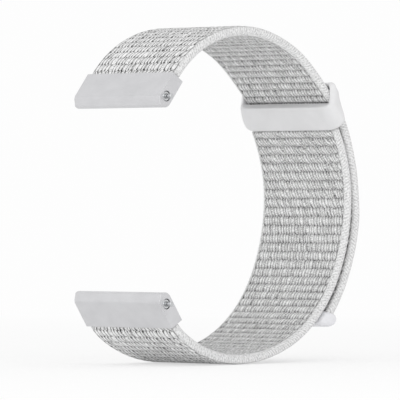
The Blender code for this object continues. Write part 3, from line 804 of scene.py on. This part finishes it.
def makeRing():
    half, face, barHalf = ring["length"] / 2, ring["thickness"] / 2, ring["barLength"] / 2
    past = 0.004              # cutters reach this far past the ring
    barInner = webbing["thickness"] / 2 + webbing["seatGap"]
    barOuter = barInner + ring["barThickness"]
    corners = [(half, -face), (half, face + ring["rim"]), ring["footCorner"],
               tuple(ringBarCorner(barHalf, barOuter)), tuple(ringBarCorner(-barHalf, barOuter)),
               *ring["wristCorners"], (-half - ring["ledge"], -face)]
    bm = extrudedProfile(corners, -ring["halfWidth"], ring["halfWidth"])
    roundEdges(bm, endEdges(bm), ring["endRound"], 4, clamp=True)
    block = finishMesh("buckleRing", bm, ringPlastic)
    evenSkin(block, ring["voxel"], ring["softening"])
    for vert in block.data.vertices:
        # Towards the two ends the wrist side of the bar and of the walls rounds away.
        turn = (abs(vert.co.x) - ring["crownStart"]) / (ring["halfWidth"] - ring["crownStart"])
        turn = max(0.0, turn)
        skin = -face + ring["wallSlope"] * max(0.0, -half - vert.co.y)
        wristward = min(1.0, max(0.0, 1.0 - (vert.co.z - skin) / (2 * face)))
        vert.co.z += ring["crownDepth"] * turn ** 2 * wristward
        down = ease((vert.co.y + half + ring["flareStart"]) / ring["flareReach"])
        flare = ring["flare"] * (down - ring["flareInside"]) * turn
        vert.co.x += flare if vert.co.x > 0 else -flare
        if vert.co.y > 0:
            vert.co.y -= ring["mouthRound"] * turn ** 2 * vert.co.y / half

    # The window is the opening between the wide bar, the thin bar and the two walls.
    pastBar = ringBarCorner(-barHalf - past, barInner)
    top = -half - ring["ledge"]
    window = [
        (pastBar.x, -face - past), (top, -face - past),
        (top, ring["ledgeOuter"]), (top + ring["ledgeSlope"], face), (half + past, face),
        (half + past, face + past), tuple(ringBarCorner(barHalf, barOuter + past)),
        tuple(ringBarCorner(barHalf, barInner)), tuple(pastBar),
    ]
    cutter = extrudedProfile(window, -ring["windowHalf"], ring["windowHalf"])
    roundEdges(cutter, endEdges(cutter, lambda place: abs(place.x - top) < 1e-6),
               ring["windowRound"], 5)
    underBar, off = ringBarCorner(0.0, barInner), outward(radians(ring["crossingAngle"]), 1)
    roundEdges(cutter, endEdges(cutter, lambda place: abs((place - underBar).dot(off)) < 1e-6),
               ring["underBarRound"], 4)
    cutAway(block, cutter)
    cutHeldSlot(block, "inRing", -half + ring["slotStart"], half + past, 0.0)
    evenSkin(block, ring["voxel"], ring["lastSoftening"])
    block.data.transform(Matrix.Translation((0.0, ringMiddle.x, ringMiddle.y))
                         @ Matrix.Rotation(ringHeading, 4, "X"))
    return block


buckleRing = makeRing()
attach(buckleRing, "strap")
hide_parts("buckle_ring")
print("ring made", len(buckleRing.data.polygons))


tip = {
    "halfWidth": 0.0110,
    "dome": 0.0017,          # how much of each end is rounded
    "domeShrink": 0.50,
    "domeSteps": 5,
    "domeMiddle": (0.0013, 0.0003),
    "voxel": 0.00012,
    "softening": 36,
    # in mm, along the tail from where its length ends, and out
    "outline": [(1.10, -1.45), (2.90, -1.45), (3.70, -1.10), (3.75, -0.40), (3.10, 0.90),
                (2.25, 2.05), (1.40, 2.70), (0.55, 2.80), (-0.10, 2.45), (-0.45, 1.80),
                (-0.45, 0.90), (0.65, -0.90)],
}


def domeEnds(bm):
    # Each end face is drawn out in steps that close in, as the round end of a bead.
    half, dome, steps = tip["halfWidth"], tip["dome"], tip["domeSteps"]
    along, out = tip["domeMiddle"]
    centre = Matrix.Translation((0.0, -along, -out))
    for side in (-1, 1):
        cap = [face for face in bm.faces
               if all(abs(vert.co.x - side * (half - dome)) < 1e-7 for vert in face.verts)]
        reached, size = half - dome, 1.0
        for step in range(1, steps + 1):
            turn = pi / 2 * step / steps
            result = bmesh.ops.extrude_face_region(bm, geom=cap)
            cap = [item for item in result["geom"] if isinstance(item, bmesh.types.BMFace)]
            moved = newVerts(result)
            place, scale = half - dome * (1 - sin(turn)), 1 - tip["domeShrink"] * (1 - cos(turn))
            bmesh.ops.translate(bm, verts=moved, vec=((place - reached) * side, 0.0, 0.0))
            bmesh.ops.scale(bm, verts=moved, vec=(1.0, scale / size, scale / size), space=centre)
            reached, size = place, scale
    bmesh.ops.recalc_face_normals(bm, faces=bm.faces)


def makeTip():
    middle, heading = placeOn(upperLine, tipPlace)
    shape = [(along / 1000, out / 1000) for along, out in tip["outline"]]
    straight = tip["halfWidth"] - tip["dome"]
    bm = extrudedProfile(shape, -straight, straight)
    domeEnds(bm)
    matrix = Matrix.Translation((0.0, middle.x, middle.y)) @ Matrix.Rotation(heading, 4, "X")
    bmesh.ops.transform(bm, matrix=matrix, verts=bm.verts)
    thing = finishMesh("tailTip", bm, tipPlastic)
    evenSkin(thing, tip["voxel"], tip["softening"])
    return thing


tailTip = makeTip()
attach(tailTip, "tail_end")
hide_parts("tail_tip")
print("tip made", len(tailTip.data.polygons))


# End pieces and their spring bars

def endMatrix(angle, side):
    turn = Matrix.Rotation(radians(angle), 4, "X")
    if side < 0:
        turn = Matrix.Rotation(pi, 4, "Y") @ turn
    return Matrix.Translation((0.0, 0.0, side * loop["barSpacing"] / 2)) @ turn


def makeEndPiece(name, angle, side):
    steps, past = endPiece["noseSteps"], endPiece["past"]
    wrist, outer, half = -endPiece["wrist"], endPiece["outer"], endPiece["halfWidth"]
    middle = Vector((-endPiece["noseSetback"], endPiece["noseRadius"] + wrist))
    nose = [middle + direction(pi + pi / 2 * step / steps) * endPiece["noseRadius"]
            for step in range(steps + 1)]
    corner = Vector((-endPiece["front"], outer))
    front = (nose[0] - corner).normalized()
    outline = [tuple(corner + Vector((endPiece["chamfer"], 0.0))),
               tuple(corner + front * endPiece["chamfer"]), *(tuple(point) for point in nose),
               (endPiece["rearWrist"], wrist), (endPiece["rearOuter"], outer)]
    piece = finishMesh(name, extrudedProfile(outline, -half, half), satin)
    bore, ends = endPiece["bore"], past["bore"]
    cutAway(piece, turnedShape([(-ends, 0.0), (-ends, bore), (ends, bore), (ends, 0.0)]))
    cutHeldSlot(piece, "inEndPiece", endPiece["slotStart"], past["slot"],
                endPiece["webbingOffset"])
    left, right = endPiece["notch"]
    cutAway(piece, cutBox(left, right, -endPiece["notchHalf"], endPiece["notchHalf"],
                          past["notch"], endPiece["notchTop"]))
    bevel = piece.modifiers.new("soft edges", "BEVEL")
    bevel.width = endPiece["edge"]
    bevel.segments = 3
    bevel.limit_method = "ANGLE"
    bevel.angle_limit = radians(28.0)
    weighted = piece.modifiers.new("flat faces", "WEIGHTED_NORMAL")
    weighted.weight = 100
    applyModifiers(piece)
    piece.data.transform(endMatrix(angle, side))
    return piece


upperEnd = makeEndPiece("upperEndPiece", endPiece["upperAngle"], 1)
lowerEnd = makeEndPiece("lowerEndPiece", endPiece["lowerAngle"], -1)
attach(upperEnd, "strap")
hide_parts("upper_end_piece")
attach(lowerEnd, "strap")
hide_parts("lower_end_piece")
print("end pieces made")


bar = {
    "half": 0.0108,
    "radius": 0.0009,
    "bore": 0.00065,
    "lip": 0.0004,
    "tipRadius": 0.00045,
    "tipEnd": 0.0122,
    "shaftRadius": 0.00057,
    "shoulder": 0.01035,
    "plugEnd": -0.00855,
    "coilStart": -0.00836,
    "coilEnd": -0.00216,
    "coilTurns": 10,
    "coilSteps": 28,          # in each turn
    "coilRadius": 0.00046,
    "wire": 0.00018,
    "knobPlace": 0.0080,
    "knobTravel": 0.0015,
    "stem": 0.00035,
    "head": 0.00195,
    "headHeight": 0.0007,
    "headRadius": 0.0006,
    "edge": 0.00008,
    "play": 0.00005,          # between a tip and the tube's mouth, and the knob and the plunger
    "room": 0.0001,           # round the knob's stem in its slot, and at the coil's end
    "slot": (-0.004, -0.0003),    # from outside the tube to the floor of the knob's slot
}


def barPiece(name, bm, body, node, matrix, material=steel, sharpFrom=40.0, cutter=None):
    piece = finishMesh(name, bm, material)
    if cutter:
        cutAway(piece, cutter)
    if sharpFrom:
        piece.data.set_sharp_from_angle(angle=radians(sharpFrom))
    piece.data.transform(matrix)
    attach(piece, body)
    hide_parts(node)
    return piece


def makeSpring():
    # A round wire wound ten turns about the bar's axis.
    bm = bmesh.new()
    bmesh.ops.create_circle(bm, cap_ends=False, segments=10, radius=bar["wire"] / 2)
    bmesh.ops.translate(bm, verts=bm.verts, vec=(bar["coilStart"], bar["coilRadius"], 0.0))
    steps = bar["coilTurns"] * bar["coilSteps"]
    bmesh.ops.spin(bm, geom=bm.verts[:] + bm.edges[:], cent=(0, 0, 0), axis=(1, 0, 0),
                   dvec=((bar["coilEnd"] - bar["coilStart"]) / steps, 0, 0),
                   angle=2 * pi * bar["coilTurns"], steps=steps, use_merge=False)
    closeEnds(bm)
    return bm


def makeBar(prefix, angle, side):
    matrix, name = endMatrix(angle, side), prefix + "Bar"
    onBar, onRelease, node = prefix + "_bar", prefix + "_release", prefix + "_bar_"
    half, radius, edge, lip = bar["half"], bar["radius"], bar["edge"], bar["lip"]
    end, tipRadius, shaft = bar["tipEnd"], bar["tipRadius"], bar["shaftRadius"]
    mouth, stem = tipRadius + bar["play"], bar["stem"]

    tube = turnedShape([(-half, mouth), (-half, radius - edge), (-half + edge, radius),
                        (half - edge, radius), (half, radius - edge), (half, mouth),
                        (half - lip, mouth), (half - lip, bar["bore"]),
                        (-half + lip, bar["bore"]), (-half + lip, mouth), (-half, mouth)])
    slotHalf = stem + bar["room"]
    left = bar["knobPlace"] - bar["knobTravel"] - slotHalf
    slot = cutBox(left, bar["knobPlace"] + slotHalf, -slotHalf, slotHalf, *bar["slot"])
    barPiece(name + "Tube", tube, onBar, node + "tube", matrix, cutter=slot)

    fixed = turnedShape([(-end, 0.0), (-end, tipRadius - edge), (-end + edge, tipRadius),
                         (-bar["shoulder"], tipRadius), (-bar["shoulder"], shaft),
                         (bar["plugEnd"], shaft), (bar["plugEnd"], 0.0)])
    barPiece(name + "FixedTip", fixed, onBar, node + "fixed_tip", matrix)

    start = bar["coilEnd"] + bar["wire"] / 2 + bar["room"]
    plunger = turnedShape([(start, 0.0), (start, shaft - edge), (start + edge, shaft),
                           (bar["shoulder"], shaft), (bar["shoulder"], tipRadius),
                           (end - edge, tipRadius), (end, tipRadius - edge), (end, 0.0)])
    barPiece(name + "Plunger", plunger, onRelease, node + "plunger", matrix)

    head, cap, foot = bar["head"], bar["headRadius"], shaft + bar["play"]
    top = head + bar["headHeight"]
    knob = turnedShape([(foot, 0.0), (foot, stem), (head, stem), (head, cap - edge),
                        (head + edge, cap), (top - 2 * edge, cap),
                        (top - edge * 0.6, cap - edge * 0.6), (top, cap - 2 * edge),
                        (top, 0.0)], 32)
    aim = Matrix.Translation((bar["knobPlace"], 0.0, 0.0)) @ Matrix.Rotation(pi / 2, 4, "Y")
    barPiece(name + "Knob", knob, onRelease, node + "knob", matrix @ aim)

    spring = barPiece(name + "Spring", makeSpring(), onBar, node + "spring", matrix,
                      springSteel, None)
    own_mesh(spring)


makeBar("upper", endPiece["upperAngle"], 1)
makeBar("lower", endPiece["lowerAngle"], -1)
print("spring bars made")


# Hook pad, and the spans of the webbing about the tail's hinges

hooks = {
    "setback": 0.0008,        # from where the tail's end peels
    "length": 0.0130,
    "width": 0.0180,
    "backing": 0.00030,
    "top": -0.00085,
    "stem": 0.00006,
    "straight": 0.00020,
    "bend": 0.00010,
    "across": 20,
    "along": 15,
    "crook": 215.0,           # degrees that a hook bends over by
    "sunk": 0.00003,
    "margin": 0.0006,
    "tapeGrid": (36, 26),     # faces across the tape and along it, so that it bends with the tail
    "unlike": 0.5,            # how much one hook may be turned against another
}


def makeHook():
    # A stiff nylon monofilament: a short stem bent over into a crook.
    bm = bmesh.new()
    bmesh.ops.create_circle(bm, cap_ends=False, segments=5, radius=hooks["stem"])
    top = newVerts(bmesh.ops.extrude_edge_only(bm, edges=bm.edges[:]))
    bmesh.ops.translate(bm, verts=top, vec=(0.0, 0.0, -hooks["straight"]))
    rim = [edge for edge in bm.edges if all(vert in top for vert in edge.verts)]
    bmesh.ops.spin(bm, geom=top + rim, cent=(hooks["bend"], 0.0, -hooks["straight"]),
                   axis=(0, 1, 0), dvec=(0, 0, 0), angle=-radians(hooks["crook"]), steps=5,
                   use_merge=False)
    closeEnds(bm)
    mesh = bpy.data.meshes.new("hookShape")
    bm.to_mesh(mesh)
    bm.free()
    return mesh


def makeHookPad():
    # Built flat, with Y along the strap and Z out of it, then laid under the tail's end.
    width, length = hooks["width"], hooks["length"]
    facesAcross, facesAlong = hooks["tapeGrid"]
    bm = bmesh.new()
    bmesh.ops.create_grid(bm, x_segments=facesAcross, y_segments=facesAlong, size=0.5)
    bmesh.ops.scale(bm, verts=bm.verts, vec=(width, length, 1.0))
    bmesh.ops.translate(bm, verts=bm.verts, vec=(0.0, length / 2, hooks["top"]))
    sheet = bmesh.ops.extrude_face_region(bm, geom=bm.faces[:])
    bmesh.ops.translate(bm, verts=newVerts(sheet), vec=(0.0, 0.0, -hooks["backing"]))
    bmesh.ops.recalc_face_normals(bm, faces=bm.faces)
    shape = makeHook()
    root = hooks["top"] - hooks["backing"] + hooks["sunk"]
    for row in range(hooks["along"]):
        for column in range(hooks["across"]):
            bm.verts.ensure_lookup_table()
            count = len(bm.verts)
            bm.from_mesh(shape)
            bm.verts.ensure_lookup_table()
            # Every other hook faces the other way, and no two point quite alike.
            nudge = noise.noise(Vector((row * 3.1, column * 2.7, 0.5)))
            turn = (pi if (row + column) % 2 else 0.0) + nudge * hooks["unlike"]
            x = ((column + 0.5) / hooks["across"] - 0.5) * (width - hooks["margin"])
            y = (row + 0.5) / hooks["along"] * length
            spot = Matrix.Translation((x, y, root)) @ Matrix.Rotation(turn, 4, "Z")
            bmesh.ops.transform(bm, matrix=spot, verts=bm.verts[count:])
    bpy.data.meshes.remove(shape)
    begin = peelPlace + hooks["setback"]
    for vert in bm.verts:
        middle, heading = placeOn(upperLine, begin + vert.co.y)
        point = middle + outward(heading, 1) * vert.co.z
        vert.co = Vector((vert.co.x, point.x, point.y))
    return finishMesh("hookPad", bm, hookCloth, 50.0)


hookPad = makeHookPad()
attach(hookPad, "tail_end")
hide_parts("hook_pad")
print("hook pad made", len(hookPad.data.polygons))


def hingeSpan(name, reach):
    # A span along the webbing through the hinge, reach each way.
    joint = next(joint for joint in frame["joints"] if joint["name"] == name)
    middle = Vector(joint["pos_m"])
    place = lengthTo(upperLine, middle.yz)
    before, after = pointOn(upperLine, place - reach), pointOn(upperLine, place + reach)
    return Vector((0.0, before.x, before.y)), Vector((0.0, after.x, after.y))


start, end = hingeSpan("tail_lift", tail["liftReach"])
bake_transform(upperWebbing)
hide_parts("upper_strap", "tail_strap")
start, end = hingeSpan("tail_peel", tail["peelReach"])
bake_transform(tailWebbing)
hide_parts("tail_end_strap")


# Stage, lights and camera

stage = {
    "floorHeight": -0.03112,
    "floorMiddle": 0.02,
    "floorRadius": 1.2,
    "white": 0.985,
    "shareLit": 0.45,         # how much of the floor's white the lamps give, and shadows take
    "litLevel": 0.965,        # what the lamps give a floor without shadow
    "roomLight": 0.84,
    "tableGlow": 0.14,        # light that the card gives back from below, under the strap too
}

lamps = {
    "keySoftbox": {"place": (0.42, -0.22, 0.50), "aim": (0.0, 0.02, 0.0),
                   "size": (0.40, 0.40), "power": 0.3},
    "frontSoftbox": {"place": (0.34, -0.66, 0.14), "aim": (0.0, 0.02, -0.01),
                     "size": (1.30, 0.34), "power": 2.1},
}

view = {"azimuth": 42.0, "distance": 0.900, "target": (0.0, 0.0213191, 0.0), "lens": 425.25}


def seenByEye(tree):
    # 1 for what the camera sees, also by way of gloss or glass, and 0 for light on the object
    seen = addNode(tree, "LightPath", output="Is Camera Ray")
    for other in ("Is Glossy Ray", "Is Transmission Ray"):
        path = findNode(tree, "LIGHT_PATH").outputs[other]
        seen = addNode(tree, "Math", [seen, path], operation="MAXIMUM")
    return seen


def makeFloor():
    bm = bmesh.new()
    bmesh.ops.create_circle(bm, cap_ends=True, segments=96, radius=stage["floorRadius"])
    bmesh.ops.translate(bm, verts=bm.verts, vec=(0.0, stage["floorMiddle"], stage["floorHeight"]))
    # Smooth white studio card: it keeps the shadow and fades into the white behind it.
    material, tree, shader = newMaterial("whiteStudioCard")
    place = addNode(tree, "TexCoord", output="Object")
    away = addNode(tree, "VectorMath", [place], "Value", operation="LENGTH")
    far = addNode(tree, "MapRange", {"Value": away, "From Min": 0.10, "From Max": 0.40}, "Result")
    lit = addNode(tree, "BsdfDiffuse", {"Color": (stage["shareLit"],) * 3 + (1.0,)})
    glow = stage["white"] - stage["shareLit"] * stage["litLevel"]
    near = addNode(tree, "AddShader", [lit, addNode(tree, "Emission", {"Strength": glow})])
    plain = addNode(tree, "Emission", {"Strength": stage["white"]})
    white = addNode(tree, "MixShader", [far, near, plain])
    setInputs(tree, shader, {"Base Color": hexColour("#F8F8F8"), "Roughness": 0.9,
                             "Emission Strength": stage["tableGlow"]})
    shown = addNode(tree, "MixShader", [seenByEye(tree), shader.outputs[0], white])
    setInputs(tree, findNode(tree, "OUTPUT_MATERIAL"), {"Surface": shown})
    finishMesh("studioFloor", bm, material)


def makeRoom():
    world = bpy.data.worlds.new("softStudio")
    bpy.context.scene.world = world
    world.use_nodes = True
    tree = world.node_tree
    room = findNode(tree, "BACKGROUND")
    setInputs(tree, room, {"Color": (1.0, 1.0, 1.0, 1.0), "Strength": stage["roomLight"]})
    white = addNode(tree, "Background", {"Color": (1.0, 1.0, 1.0, 1.0), "Strength": stage["white"]})
    shown = addNode(tree, "MixShader", [seenByEye(tree), room.outputs[0], white])
    setInputs(tree, findNode(tree, "OUTPUT_WORLD"), {"Surface": shown})


def addToScene(name, data, place, aim):
    # A lamp or a camera that stands at place and looks at aim.
    thing = bpy.data.objects.new(name, data)
    bpy.context.scene.collection.objects.link(thing)
    thing.location = place
    thing.rotation_euler = (Vector(aim) - thing.location).to_track_quat("-Z", "Y").to_euler()
    return thing


def makeLamp(name, place, aim, size, power):
    data = bpy.data.lights.new(name, "AREA")
    data.shape = "RECTANGLE"
    data.size, data.size_y = size
    data.energy = power
    addToScene(name, data, place, aim)


def makeCamera():
    data = bpy.data.cameras.new("photoCamera")
    data.sensor_width = 36.0
    data.lens = view["lens"]
    data.clip_end = 10.0
    azimuth, target = radians(view["azimuth"]), Vector(view["target"])
    place = target + Vector((sin(azimuth), -cos(azimuth), 0.0)) * view["distance"]
    bpy.context.scene.camera = addToScene("photoCamera", data, place, target)


makeFloor()
makeRoom()
for name, lamp in lamps.items():
    makeLamp(name, **lamp)
makeCamera()
bpy.context.scene.view_settings.view_transform = "Standard"
print("stage, lights and camera made")
